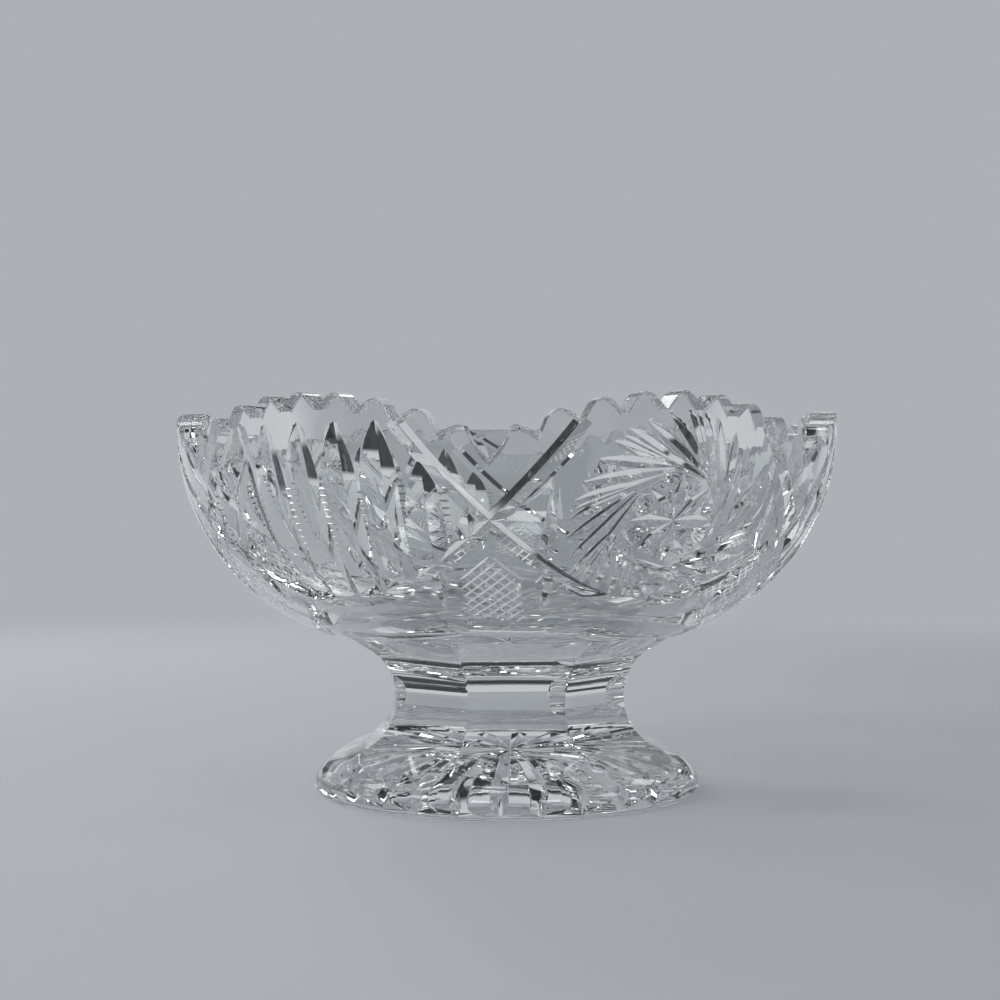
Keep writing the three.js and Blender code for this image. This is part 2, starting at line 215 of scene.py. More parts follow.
# Glass
CRYSTAL_COLOUR = (0.82, 0.838, 0.834)
CRYSTAL_ROUGHNESS = (0, 0.03)
CRYSTAL_TRANSMISSION = 1
MATT_COLOUR = (0.95, 0.96, 0.96)
MATT_ROUGHNESS = (0.5, 0.6)
MATT_TRANSMISSION = 0.15
GLASS_IOR = 1.545
HAZE_SCALE = 60
HAZE_DETAIL = 4
HAZE_RANGE = (0.45, 0.8)
SHADOW_LET_THROUGH = 0.8

# Floor
FLOOR_RINGS = (0.2, 0.6, 2.4)
FLOOR_SEGMENTS = 96
FLOOR_FADE = (0.36, 1)
FLOOR_DROP = 0.02 * MM
FLOOR_COLOUR = (0.43, 0.447, 0.478)
FLOOR_ROUGHNESS = 0.9
FLOOR_SPECULAR = 0.1
FLOOR_GRAIN = 0.015
FLOOR_GRAIN_SCALE = 900
FLOOR_GRAIN_DETAIL = 2

# Surroundings: a backdrop for the camera, a fill for the floor and a room for the glass
BACKDROP = (0.42, 0.436, 0.468)
WINDOW = (0.66, 0.674, 0.697)
CURTAIN = (0.02, 0.0205, 0.0215)
CEILING = (0.03, 0.031, 0.033)
FILL = (0.22, 0.225, 0.233)
OPENINGS = 8
# Where edges start and are complete, in the cosine and sine of the bearing times the openings
OPENING_EDGE = (0.45, 0.15)
CURTAIN_EDGE = (-0.05, -0.3)
# Where edges start and are complete, in the sine of the elevation
SILL = (0.078, 0.1)
LINTEL = (0.2, 0.24)
CEILING_EDGE = (0.4, 0.55)

# Lamps: name, place, side, power and whether the glass shows them
LAMPS = [
    ("front_left", (-1.15, -0.73, 0.85), 0.5, 10.5, False),
    ("back_left", (-0.85, 1.15, 0.9), 0.5, 12.5, False),
    ("above", (-0.1, -0.3, 1.1), 0.2, 0.9, True),
]
LAMP_AIM_HEIGHT = 0.06
SPOTS = 8
SPOT_START = 0.3
SPOT_RING = 1.1
SPOT_HEIGHT = 0.95
SPOT_SIZE = 0.27
SPOT_POWER = 0.9

# Camera, level with the upper half of the bowl
CAMERA_TURN = 2.7
CAMERA_DISTANCE = 0.498
CAMERA_HEIGHT = 0.082
CAMERA_AIM_HEIGHT = 0.0898
CAMERA_AIM_ASIDE = -0.00204
CAMERA_LENS = 57.1
CAMERA_SENSOR = 36
CAMERA_CLIP_START = 0.01

# Values that follow from the sizes above
panel_angle = 360 / PANELS
tooth_angle = panel_angle / TEETH_PER_PANEL
arc_height = BOWL_BASE + ARC_RISE + SIDE_ARC_RADIUS
underside_height = BOWL_BASE + UNDERSIDE_RISE
arc_centre = RIM_RADIUS - SIDE_ARC_RADIUS
rim_inside = RIM_RADIUS - RIM_WALL
cutter_top = RIM_TOP + 2 * OVERRUN
floor_height = BOWL_BASE + FLOOR_THICKNESS
lower_rise = (BOWL_BASE - FOOT_TOP - NECK_BAND) * NECK_SHARE
upper_rise = BOWL_BASE - FOOT_TOP - NECK_BAND - lower_rise
lower_hollow = lower_rise + LOWER_RUN_OUT
upper_hollow = upper_rise + UPPER_RUN_OUT
base_ray_reach = FOOT_RADIUS - FOOT_BASE_INSET - BASE_RING
hatch_corner = HATCH_CORNER_SHARE * HATCH_HALF_WIDTH
hatch_field = [
    (-hatch_corner, -HATCH_FALL),
    (hatch_corner, -HATCH_FALL),
    (HATCH_HALF_WIDTH, 0),
    (0, HATCH_RISE),
    (-HATCH_HALF_WIDTH, 0),
]

rad = math.radians
scene = bpy.context.scene


# Solids

def solid(name, verts, faces):
    mesh = bpy.data.meshes.new(name)
    mesh.from_pydata(verts, [], faces)
    bm = bmesh.new()
    bm.from_mesh(mesh)
    bmesh.ops.recalc_face_normals(bm, faces=bm.faces)
    bm.to_mesh(mesh)
    bm.free()
    return bpy.data.objects.new(name, mesh)


def evenly(count):
    return [2 * math.pi * k / count for k in range(count)]


def revolve(name, profile, angles):
    """Surface of (radius, height) points turned about the upright axis, closed if both ends are on it."""
    segments = len(angles)
    verts = []
    rings = []
    for radius, height in profile:
        count = 1 if radius < TINY else segments
        rings.append(list(range(len(verts), len(verts) + count)))
        for angle in angles[:count]:
            verts.append((radius * math.sin(angle), -radius * math.cos(angle), height))
    faces = []
    for low, high in zip(rings, rings[1:]):
        for k in range(segments):
            n = (k + 1) % segments
            if len(low) == 1:
                faces.append((low[0], high[n], high[k]))
            elif len(high) == 1:
                faces.append((low[k], low[n], high[0]))
            else:
                faces.append((low[k], low[n], high[n], high[k]))
    return solid(name, verts, faces)


def carve(piece, cutters, operation="DIFFERENCE"):
    """Replaces the piece's mesh with what the operation makes of it and the cutters, and deletes these."""
    group = bpy.data.collections.new("cutters")
    scene.collection.children.link(group)
    for cutter in cutters:
        group.objects.link(cutter)
    mod = piece.modifiers.new("cut", "BOOLEAN")
    mod.operation = operation
    mod.solver = "MANIFOLD"
    mod.operand_type = "COLLECTION"
    mod.collection = group
    graph = bpy.context.evaluated_depsgraph_get()
    mesh = bpy.data.meshes.new_from_object(piece.evaluated_get(graph))
    piece.modifiers.clear()
    piece.data = mesh
    for cutter in cutters:
        bpy.data.objects.remove(cutter)
    bpy.data.collections.remove(group)


def arc_points(centre, radius, start, end, steps):
    points = []
    for i in range(steps + 1):
        angle = rad(start + (end - start) * i / steps)
        points.append((centre[0] + radius * math.cos(angle), centre[1] + radius * math.sin(angle)))
    return points


def bend(start, control, end, steps):
    """Points of a curve that leaves its start towards the control point and reaches its end from there."""
    points = []
    for i in range(steps + 1):
        t = i / steps
        first, second, third = (1 - t) ** 2, 2 * t * (1 - t), t ** 2
        points.append(tuple(first * a + second * b + third * c for a, b, c in zip(start, control, end)))
    return points


# Outer side of the bowl

def side_radius(height):
    drop = max(arc_height - height, 0)
    return arc_centre + math.sqrt(max(SIDE_ARC_RADIUS ** 2 - drop ** 2, 0))


def on_side(azimuth, height):
    """Point and outward normal at an azimuth and a height."""
    radius = side_radius(height)
    drop = max(arc_height - height, 0)
    out = (radius - arc_centre) / SIDE_ARC_RADIUS
    sin = math.sin(rad(azimuth))
    cos = math.cos(rad(azimuth))
    point = Vector((radius * sin, -radius * cos, height))
    normal = Vector((out * sin, -out * cos, -drop / SIDE_ARC_RADIUS))
    return point, normal


def along_side(middle, height, across, up):
    """Azimuth and height at a distance across and up the side from a place on it."""
    start = arc_height - height
    drop = math.asin(start / SIDE_ARC_RADIUS) - up / SIDE_ARC_RADIUS
    at = arc_height - SIDE_ARC_RADIUS * (math.sin(drop) if drop > 0 else drop)
    return middle + math.degrees(across / side_radius(at)), at


def rim_height(azimuth):
    aside = azimuth % panel_angle - panel_angle / 2
    return RIM_TOP - SCALLOP_DIP * (aside / (panel_angle / 2)) ** 2


def swag_height(angle):
    """Height of a panel's swag at an angle from the middle of the panel."""
    rise = (abs(angle) / (panel_angle / 2)) ** SWAG_POWER
    return BOWL_BASE + SWAG_LOW + (SWAG_CROSSING - SWAG_LOW) * rise


# Wheel cuts

def groove_section(depth, angle, eased):
    """Corners (across, out) of a V groove. Eased lips have half the slope of its walls."""
    steep = math.tan(rad(angle / 2))
    if not eased:
        half = (CUT_LIFT + depth) * steep
        return [(0, -depth), (half, CUT_LIFT), (-half, CUT_LIFT)]
    shallow = math.tan(rad(45 + angle / 4))
    bend_at = max(-EASED_EDGE, EASED_TIP - depth)
    inner = (bend_at + depth) * steep
    outer = inner + (CUT_LIFT - bend_at) * shallow
    return [(0, -depth), (inner, bend_at), (outer, CUT_LIFT), (-outer, CUT_LIFT), (-inner, bend_at)]


def wheel_cut(stations, angle, eased=True):
    """V groove along stations of (point, normal, depth)."""
    last = len(stations) - 1
    verts = []
    for i, (point, normal, depth) in enumerate(stations):
        before = stations[max(i - 1, 0)][0]
        after = stations[min(i + 1, last)][0]
        across = (after - before).cross(normal).normalized()
        section = groove_section(depth, angle, eased)
        verts += [point + across * a + normal * out for a, out in section]
    count = len(section)
    faces = [tuple(range(count)), tuple(range(count * (last + 1) - 1, count * last - 1, -1))]
    for i in range(last):
        for side in range(count):
            a = count * i + side
            b = count * i + (side + 1) % count
            faces.append((a, a + count, b + count, b))
    return solid("cut", verts, faces)


def side_cut(steps, place, depth_at, angle, eased=True):
    """Wheel cut on the bowl's side, where place gives an azimuth and height for a share of its length."""
    stations = []
    for i in range(steps + 1):
        share = i / steps
        point, normal = on_side(*place(share))
        stations.append((point, normal, depth_at(share)))
    return wheel_cut(stations, angle, eased)


def line_cut(middle, height, start, end, steps, depth_at, angle, eased=True):
    """Wheel cut between two (across, up) places about a point of the side."""

    def place(share):
        across = start[0] + (end[0] - start[0]) * share
        up = start[1] + (end[1] - start[1]) * share
        return along_side(middle, height, across, up)

    return side_cut(steps, place, depth_at, angle, eased)


def even(depth):
    """The same depth all along a cut."""
    return lambda share: depth


def swelling(depth, run):
    """Depth that rises from nothing at both ends of a cut, each over a share of its length."""

    def at(share):
        edge = min(share, 1 - share) / run
        return (depth + TIP_LIFT) * math.sin(math.pi / 2 * min(edge, 1)) - TIP_LIFT

    return at


def flame(depth, widest):
    """Depth that rises evenly to its most at a share of a cut's length and falls evenly to its end."""

    def at(share):
        rise = share / widest if share < widest else (1 - share) / (1 - widest)
        return (depth + TIP_LIFT) * rise - TIP_LIFT

    return at


def polar(radius, bearing):
    return Vector((radius * math.cos(rad(bearing)), radius * math.sin(rad(bearing))))


def swag_cuts():
    reach = panel_angle / 2 + SWAG_TEETH_PAST_CROSSING * tooth_angle
    cuts = []
    for panel in range(PANELS):
        middle = (panel + 0.5) * panel_angle

        def place(share):
            angle = reach * (2 * share - 1)
            return middle + angle, swag_height(angle)

        cuts.append(side_cut(SWAG_STEPS, place, even(MITRE_DEPTH), MITRE_ANGLE))
    return cuts


def leaf_cuts(crossing):
    cuts = []
    meeting = swag_height(panel_angle / 2 - LEAF_ASIDE_ANGLE)
    for side in (-1, 1):
        for length in (LEAF_UPPER_LENGTH, -LEAF_LOWER_LENGTH):

            def place(share):
                return crossing + side * LEAF_ASIDE_ANGLE, meeting + length * share

            cuts.append(side_cut(LEAF_STEPS, place, flame(LEAF_DEPTH, LEAF_WIDEST), LEAF_ANGLE))
    return cuts


def prism_cuts(middle):
    cuts = []
    most = (TEETH_PER_PANEL - 1) // 2
    half_pitch = RIM_RADIUS * rad(tooth_angle) / 2 - PRISM_LAND / 2
    wheel = 2 * math.degrees(math.atan(half_pitch / PRISM_DEPTH))
    for tooth in range(-most, most + 1):
        angle = tooth * tooth_angle
        low = swag_height(angle)
        high = min(BOWL_BASE + PRISM_TOP, swag_height(panel_angle - abs(angle)))

        def place(share):
            return middle + angle, low + (high - low) * share

        def depth_at(share):
            short = max(1 - (high - low) * (1 - share) / PRISM_TAPER, 0)
            return (PRISM_DEPTH + END_LIFT) * (1 - short ** 2) - END_LIFT

        cuts.append(side_cut(PRISM_STEPS, place, depth_at, wheel))
    for ridge in range(-most, most + 2):
        cuts += ridge_notches(middle, (ridge - 0.5) * tooth_angle)
    return cuts


def ridge_notches(middle, angle):
    """Row of little notches up the ridge between two prisms."""
    cuts = []
    ends = (-RIDGE_NOTCH_HALF, 0), (RIDGE_NOTCH_HALF, 0)
    depth_at = even(RIDGE_NOTCH_DEPTH)
    height = swag_height(angle) + RIDGE_NOTCH_PITCH
    next_swag = swag_height(panel_angle - abs(angle))
    high = min(BOWL_BASE + PRISM_TOP - PRISM_TAPER, next_swag - RIDGE_NOTCH_PITCH)
    while height < high:
        at = middle + angle, height
        cuts.append(line_cut(*at, *ends, RIDGE_NOTCH_STEPS, depth_at, RIDGE_NOTCH_ANGLE, eased=False))
        height += RIDGE_NOTCH_PITCH * (side_radius(height) - arc_centre) / SIDE_ARC_RADIUS
    return cuts


def pinwheel_cuts(middle):
    cuts = []
    hub = BOWL_BASE + WHEEL_HEIGHT
    star_run_out = flame(STAR_CUT_DEPTH, STAR_WIDEST)
    little_fan_depth = swelling(LITTLE_FAN_DEPTH, LITTLE_FAN_RUN)
    fan_depth = swelling(FAN_CUT_DEPTH, FAN_CUT_RUN)

    def star_depth(share):
        if share < STAR_WIDEST:
            return STAR_HUB_DEPTH + (STAR_CUT_DEPTH - STAR_HUB_DEPTH) * share / STAR_WIDEST
        return star_run_out(share)

    def line(start, end, steps, depth_at, angle, eased=True):
        cuts.append(line_cut(middle, hub, start, end, steps, depth_at, angle, eased))

    for arm in range(WHEEL_ARMS):
        bearing = 360 / WHEEL_ARMS * arm
        tip = polar(STAR_RADIUS, bearing)
        line(polar(0, bearing), tip, STAR_STEPS, star_depth, STAR_CUT_ANGLE)
        between = bearing + 180 / WHEEL_ARMS
        for cut in range(LITTLE_FAN_CUTS):
            turn = LITTLE_FAN_SPREAD * (cut / (LITTLE_FAN_CUTS - 1) - 0.5)
            start = polar(LITTLE_FAN_START, between + LITTLE_FAN_START_SHARE * turn)
            end = polar(LITTLE_FAN_END, between + turn)
            line(start, end, LITTLE_FAN_STEPS, little_fan_depth, LITTLE_FAN_ANGLE, eased=False)
        for cut in range(FAN_CUTS):
            lean = FAN_LEAN + FAN_SPREAD * (cut / (FAN_CUTS - 1) - 0.5)
            heading = polar(1, bearing + lean)
            along = tip.dot(heading)
            length = math.sqrt(along ** 2 + FAN_REACH ** 2 - STAR_RADIUS ** 2) - along
            line(tip, tip + heading * length, FAN_STEPS, fan_depth, FAN_CUT_ANGLE)
    return cuts


# Hatched fields

def hatch_edges():
    """A corner and the inward direction of each edge of the convex field."""
    following = hatch_field[1:] + hatch_field[:1]
    return [(Vector(a), Vector((a[1] - b[1], b[0] - a[0]))) for a, b in zip(hatch_field, following)]


def clip_line(point, heading):
    """Where an endless line enters and leaves the field, or None where it crosses too little of it."""
    enter = -FAR
    leave = FAR
    for corner, inward in hatch_edges():
        gap = inward.dot(point - corner)
        rate = inward.dot(heading)
        if abs(rate) < TINY:
            if gap < 0:
                return None
        elif rate > 0:
            enter = max(enter, -gap / rate)
        else:
            leave = min(leave, -gap / rate)
    if leave - enter < HATCH_PITCH / 2:
        return None
    return point + heading * enter, point + heading * leave


def hatch_cuts(middle):
    cuts = []
    height = BOWL_BASE + HATCH_SHOULDER
    depth_at = swelling(HATCH_DEPTH, HATCH_RUN)
    for lean in HATCH_LEANS:
        heading = polar(1, lean)
        aside = polar(1, lean + 90)
        for k in range(-HATCH_LINES_ASIDE, HATCH_LINES_ASIDE + 1):
            ends = clip_line(aside * (k * HATCH_PITCH), heading)
            if ends:
                cuts.append(line_cut(middle, height, *ends, HATCH_STEPS, depth_at, HATCH_ANGLE, eased=False))
    return cuts


def in_hatch(point):
    """Whether a point lies in a groove of a hatched field, a little under the bowl's side."""
    gap = side_radius(point.z) - math.hypot(point.x, point.y)
    if gap < HATCH_LEAST_GAP or gap > HATCH_MOST_GAP:
        return False
    azimuth = math.degrees(math.atan2(point.x, -point.y))
    aside = azimuth - panel_angle * round(azimuth / panel_angle)
    across = rad(aside) * side_radius(point.z)
    shoulder = math.asin((arc_height - BOWL_BASE - HATCH_SHOULDER) / SIDE_ARC_RADIUS)
    drop = math.asin(max(min((arc_height - point.z) / SIDE_ARC_RADIUS, 1), 0))
    place = Vector((across, SIDE_ARC_RADIUS * (shoulder - drop)))
    return all(inward.dot(place - corner) >= 0 for corner, inward in hatch_edges())


# Rim: a ring whose underside follows the teeth takes away everything above them

def scallop_point(azimuth):
    return Vector((RIM_RADIUS * rad(azimuth), rim_height(azimuth)))


def scallop_tangent(azimuth):
    aside = azimuth % panel_angle - panel_angle / 2
    if abs(abs(aside) - panel_angle / 2) < SAME_ANGLE:
        return Vector((1, 0))
    return (scallop_point(azimuth + TANGENT_STEP) - scallop_point(azimuth - TANGENT_STEP)).normalized()


def tooth_half(notch, crest, crest_fall, notch_fall):
    """Points from the bottom of a notch up to the crest of the tooth beside it."""
    toward = 1 if crest > notch else -1
    tangent = scallop_tangent(notch)
    normal = Vector((-tangent.y, tangent.x))
    at_crossing = abs(notch / panel_angle - round(notch / panel_angle)) < SAME_ANGLE
    depth = CROSSING_NOTCH_DEPTH if at_crossing else NOTCH_DEPTH
    bottom = scallop_point(notch) - normal * (depth + notch_fall)
    half = rad(NOTCH_ANGLE / 2)
    wall = tangent * (toward * math.sin(half)) + normal * math.cos(half)
    level = scallop_tangent(crest)
    square = Vector((-level.y, level.x))
    top = scallop_point(crest) - square * crest_fall
    to_crest = square.dot(top - bottom) / square.dot(wall)
    to_side = TOOTH_CORNER_SHARE * (top.x - bottom.x) / wall.x
    reach = min(to_crest, to_side)
    corner = bottom + wall * reach
    start = bottom + wall * (TOOTH_WALL_SHARE * reach)
    points = [bottom]
    for i in range(TOOTH_STEPS + 1):
        t = i / TOOTH_STEPS
        points.append(start * (1 - t) ** 2 + corner * (2 * t * (1 - t)) + top * t ** 2)
    return points


def rim_outline(share):
    """Line of the teeth at a share of the wall's thickness, from the inside out."""
    falls = share * CREST_FALL, share * NOTCH_FALL
    outline = []
    for tooth in range(PANELS * TEETH_PER_PANEL):
        notch = tooth * tooth_angle
        crest = notch + tooth_angle / 2
        outline += tooth_half(notch, crest, *falls)[:-1]
        outline += tooth_half(notch + tooth_angle, crest, *falls)[:0:-1]
    return outline


def rim_stations():
    """Radii across the wall and how far the rim has fallen there, over its rounded edges."""
    run = RIM_EDGE / 2
    stations = []
    for step in range(RIM_EDGE_STEPS + 1):
        turn = rad(RIM_EDGE_TURN * step / RIM_EDGE_STEPS)
        stations.append((RIM_EDGE * (1 - math.sin(turn)), RIM_EDGE * (1 - math.cos(turn))))
    depth, fall = stations[-1]
    stations.append((-run, fall + (depth + run) * math.tan(rad(RIM_EDGE_TURN))))
    inner = [(rim_inside + depth, fall) for depth, fall in reversed(stations)]
    outer = [(RIM_RADIUS - depth, fall) for depth, fall in stations]
    return inner + outer


def rim_cutter():
    lines = []
    for radius, fall in rim_stations():
        outline = rim_outline((radius - RIM_RADIUS + RIM_WALL) / RIM_WALL)
        lines.append([(radius, place.x / RIM_RADIUS, place.y - fall) for place in outline])
    for line in (lines[-1], lines[0]):
        lines.append([(radius, angle, cutter_top) for radius, angle, height in line])
    verts = []
    for ring in zip(*lines):
        verts += [(radius * math.sin(angle), -radius * math.cos(angle), z) for radius, angle, z in ring]
    faces = []
    around = len(lines)
    count = len(lines[0])
    for i in range(count):
        n = (i + 1) % count
        for a in range(around):
            b = (a + 1) % around
            faces.append((around * i + a, around * i + b, around * n + b, around * n + a))
    return solid("rim_cut", verts, faces)


# Flat-sided stem and its hollows

def flat_sided(name, profile):
    """Solid with the stem's flat sides, each corner eased by a narrow flat."""
    ease = STEM_EDGE / (2 * NECK_HALF_WIDTH)
    angles = []
    for side in range(STEM_SIDES):
        corner = rad(STEM_TURN + (side + 0.5) * 360 / STEM_SIDES)
        angles += [corner - ease, corner + ease]
    stretch = 1 / math.cos(math.pi / STEM_SIDES - ease)
    return revolve(name, [(radius * stretch, height) for radius, height in profile], angles)


def slope_at(rise, radius):
    """Slope of a hollow from upright, at a rise from the neck."""
    return math.degrees(math.asin(rise / radius))


def upper_arc(start, end, steps):
    centre = NECK_HALF_WIDTH + upper_hollow, BOWL_BASE - upper_rise
    return arc_points(centre, upper_hollow, 180 - start, 180 - end, steps)


def lower_arc(start, end, steps):
    centre = NECK_HALF_WIDTH + lower_hollow, FOOT_TOP + lower_rise
    return arc_points(centre, lower_hollow, 180 + start, 180 + end, steps)


def flare():
    """Carries the stem's flats on, straight, into the underside of the bowl."""
    slope = slope_at(upper_rise, upper_hollow)
    joint = upper_arc(slope, 0, 1)[0]
    top = underside_height + FLARE_ROOT
    root = joint[0] + (top - BOWL_BASE) * math.tan(rad(slope)), top
    return flat_sided("flare", [(0, BOWL_BASE), joint, root, (0, top)])


# Pieces

def bowl_piece():
    lowest = math.degrees(math.asin((underside_height - arc_height) / SIDE_ARC_RADIUS))
    profile = [(0, underside_height)]
    profile += arc_points((arc_centre, arc_height), SIDE_ARC_RADIUS, lowest, 0, SIDE_RINGS)
    profile += [(RIM_RADIUS, RIM_TOP + OVERRUN), (0, RIM_TOP + OVERRUN)]
    bowl = revolve("bowl_cut_glass", profile, evenly(OUTSIDE_SEGMENTS))
    scene.collection.objects.link(bowl)
    carve(bowl, [flare()], "UNION")
    radius = arc_height - floor_height
    hollow = [(0, floor_height)]
    hollow += arc_points((rim_inside - radius, arc_height), radius, -90, 0, INSIDE_RINGS)
    hollow += [(rim_inside, cutter_top), (0, cutter_top)]
    cuts = [revolve("hollow", hollow, evenly(INSIDE_SEGMENTS)), rim_cutter()] + swag_cuts()
    for panel in range(PANELS):
        middle = (panel + 0.5) * panel_angle
        cuts += pinwheel_cuts(middle) if panel % 2 == 0 else prism_cuts(middle)
        cuts += hatch_cuts(panel * panel_angle) + leaf_cuts(panel * panel_angle)
    carve(bowl, cuts)
    return bowl


def stem_piece():
    lower = lower_arc(slope_at(lower_rise, lower_hollow), 0, STEM_ARC_STEPS)
    upper = upper_arc(0, slope_at(upper_rise, upper_hollow), STEM_ARC_STEPS)
    stem = flat_sided("stem_glass", [(0, FOOT_TOP)] + lower + upper + [(0, BOWL_BASE)])
    scene.collection.objects.link(stem)
    return stem


def foot_piece():
    base = FOOT_RADIUS - FOOT_BASE_INSET, 0
    edge = FOOT_RADIUS, FOOT_EDGE_HEIGHT
    bulge = FOOT_RADIUS, FOOT_EDGE_HEIGHT + FOOT_SHOULDER_BULGE
    shoulder = FOOT_RADIUS - FOOT_SHOULDER_INSET, FOOT_TOP - FOOT_SHOULDER_DROP
    arc = lower_arc(90 - FOOT_SLOPE, slope_at(lower_rise, lower_hollow), STEM_ARC_STEPS)
    corner = arc[-1][0] / math.cos(math.pi / STEM_SIDES) + FOOT_CORNER_ROOM
    profile = [(0, 0)] + bend(base, (FOOT_RADIUS, 0), edge, FOOT_EDGE_STEPS)
    profile += bend(edge, bulge, shoulder, FOOT_SHOULDER_STEPS)[1:]
    profile += [(corner, FOOT_TOP), (0, FOOT_TOP)]
    foot = revolve("foot_glass", profile, evenly(INSIDE_SEGMENTS))
    scene.collection.objects.link(foot)
    out = FOOT_RADIUS + OVERRUN
    edge_height = arc[0][1] - (out - arc[0][0]) * math.tan(rad(FOOT_SLOPE))
    below = [(0, -OVERRUN), (out, -OVERRUN), (out, edge_height)] + arc + [(0, FOOT_TOP)]
    carve(foot, [flat_sided("below", below)], "INTERSECT")
    carve(foot, base_cuts())
    return foot


def base_cuts():
    """Star of rays under the foot."""
    down = Vector((0, 0, -1))
    deepest = base_ray_reach - BASE_RAY_RUN_OUT
    shape = (0, BASE_HUB_DEPTH), (deepest, BASE_RAY_DEPTH), (base_ray_reach, -END_LIFT)
    cuts = []
    for bearing in evenly(BASE_RAYS):
        way = Vector((math.sin(bearing), -math.cos(bearing), 0))
        stations = [(way * radius, down, depth) for radius, depth in shape]
        cuts.append(wheel_cut(stations, BASE_RAY_ANGLE))
    return cuts


# Shader nodes

def connect(tree, value, socket):
    """Links an output to a socket, or sets the socket to a number or a colour."""
    if isinstance(value, bpy.types.NodeSocket):
        tree.links.new(value, socket)
    elif isinstance(value, tuple):
        socket.default_value = (*value, 1)
    else:
        socket.default_value = value


def math_node(tree, operation, *values):
    node = tree.nodes.new("ShaderNodeMath")
    node.operation = operation
    for socket, value in zip(node.inputs, values):
        connect(tree, value, socket)
    return node.outputs["Value"]


def ramp(tree, value, start, end):
    """Smooth rise from 0 to 1 between two values."""
    node = tree.nodes.new("ShaderNodeMapRange")
    node.interpolation_type = "SMOOTHSTEP"
    for name, given in (("Value", value), ("From Min", start), ("From Max", end)):
        connect(tree, given, node.inputs[name])
    return node.outputs["Result"]


def noise(tree, coords, scale, detail):
    node = tree.nodes.new("ShaderNodeTexNoise")
    for name, given in (("Vector", coords), ("Scale", scale), ("Detail", detail)):
        connect(tree, given, node.inputs[name])
    return node.outputs["Fac"]


def blend(tree, factor, first, second):
    node = tree.nodes.new("ShaderNodeMix")
    node.data_type = "RGBA"
    for name, given in (("Factor", factor), ("A", first), ("B", second)):
        connect(tree, given, node.inputs[name])
    return node.outputs["Result"]


def mix_shaders(tree, factor, first, second):
    node = tree.nodes.new("ShaderNodeMixShader")
    for socket, value in zip(node.inputs, (factor, first, second)):
        connect(tree, value, socket)
    return node.outputs["Shader"]


def see_through(tree):
    return tree.nodes.new("ShaderNodeBsdfTransparent").outputs["BSDF"]


def object_coords(tree):
    return tree.nodes.new("ShaderNodeTexCoord").outputs["Object"]


# Materials

def material(name):
    mat = bpy.data.materials.new(name)
    mat.use_nodes = True
    return mat


def surface(mat, shader):
    connect(mat.node_tree, shader, mat.node_tree.nodes["Material Output"].inputs["Surface"])


def glass_material(name, colour, roughness, transmission):
    """Glass of faintly uneven polish that lets some of the lamps' light through its shadow."""
    mat = material(name)
    tree = mat.node_tree
    shader = tree.nodes["Principled BSDF"]
    connect(tree, colour, shader.inputs["Base Color"])
    connect(tree, transmission, shader.inputs["Transmission Weight"])
    connect(tree, GLASS_IOR, shader.inputs["IOR"])
    polish = tree.nodes.new("ShaderNodeMapRange")
    connect(tree, noise(tree, object_coords(tree), HAZE_SCALE, HAZE_DETAIL), polish.inputs["Value"])
    for end, given in zip(("From Min", "From Max", "To Min", "To Max"), HAZE_RANGE + roughness):
        connect(tree, given, polish.inputs[end])
    connect(tree, polish.outputs["Result"], shader.inputs["Roughness"])
    path = tree.nodes.new("ShaderNodeLightPath")
    lit = math_node(tree, "MULTIPLY", path.outputs["Is Shadow Ray"], SHADOW_LET_THROUGH)
    surface(mat, mix_shaders(tree, lit, shader.outputs["BSDF"], see_through(tree)))
    return mat


def join_material():
    """Nothing at all, for the faces inside the glass where two pieces are joined hot."""
    mat = material("crystal_join")
    surface(mat, see_through(mat.node_tree))
    mat.node_tree.nodes.remove(mat.node_tree.nodes["Principled BSDF"])
    return mat


def floor_material():
    """Plain floor with a faint grain that fades away to show the backdrop."""
    mat = material("floor")
    tree = mat.node_tree
    shader = tree.nodes["Principled BSDF"]
    connect(tree, FLOOR_ROUGHNESS, shader.inputs["Roughness"])
    connect(tree, FLOOR_SPECULAR, shader.inputs["Specular IOR Level"])
    coords = object_coords(tree)
    grain = noise(tree, coords, FLOOR_GRAIN_SCALE, FLOOR_GRAIN_DETAIL)
    darker = tuple((1 - FLOOR_GRAIN) * c for c in FLOOR_COLOUR)
    lighter = tuple((1 + FLOOR_GRAIN) * c for c in FLOOR_COLOUR)
    connect(tree, blend(tree, grain, darker, lighter), shader.inputs["Base Color"])
    away = tree.nodes.new("ShaderNodeVectorMath")
    away.operation = "LENGTH"
    connect(tree, coords, away.inputs[0])
    fade = ramp(tree, away.outputs["Value"], *FLOOR_FADE)
    surface(mat, mix_shaders(tree, fade, shader.outputs["BSDF"], see_through(tree)))
    return mat


glass = [
    glass_material("crystal", CRYSTAL_COLOUR, CRYSTAL_ROUGHNESS, CRYSTAL_TRANSMISSION),
    join_material(),
    glass_material("crystal_matt", MATT_COLOUR, MATT_ROUGHNESS, MATT_TRANSMISSION),
]
POLISHED, JOINED, MATT = range(len(glass))


def finish_glass(piece, node, joins):
    """Gives a piece its glass and its edges and ties it to the frame. Joins are heights."""
    mesh = piece.data
    mesh.materials.clear()
    for mat in glass:
        mesh.materials.append(mat)
    for face in mesh.polygons:
        face.use_smooth = True
        level = abs(face.normal.z) > LEVEL
        if level and any(abs(face.center.z - z) < SAME_HEIGHT for z in joins):
            face.material_index = JOINED
        elif node == "bowl" and in_hatch(face.center):
            face.material_index = MATT
        else:
            face.material_index = POLISHED
    mesh.set_sharp_from_angle(angle=rad(SHARP_ANGLE))
    ease = piece.modifiers.new("eased edges", "WEIGHTED_NORMAL")
    ease.mode = "FACE_AREA"
    ease.weight = NORMAL_WEIGHT
    ease.keep_sharp = True
    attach(piece, "root")
    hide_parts(node)


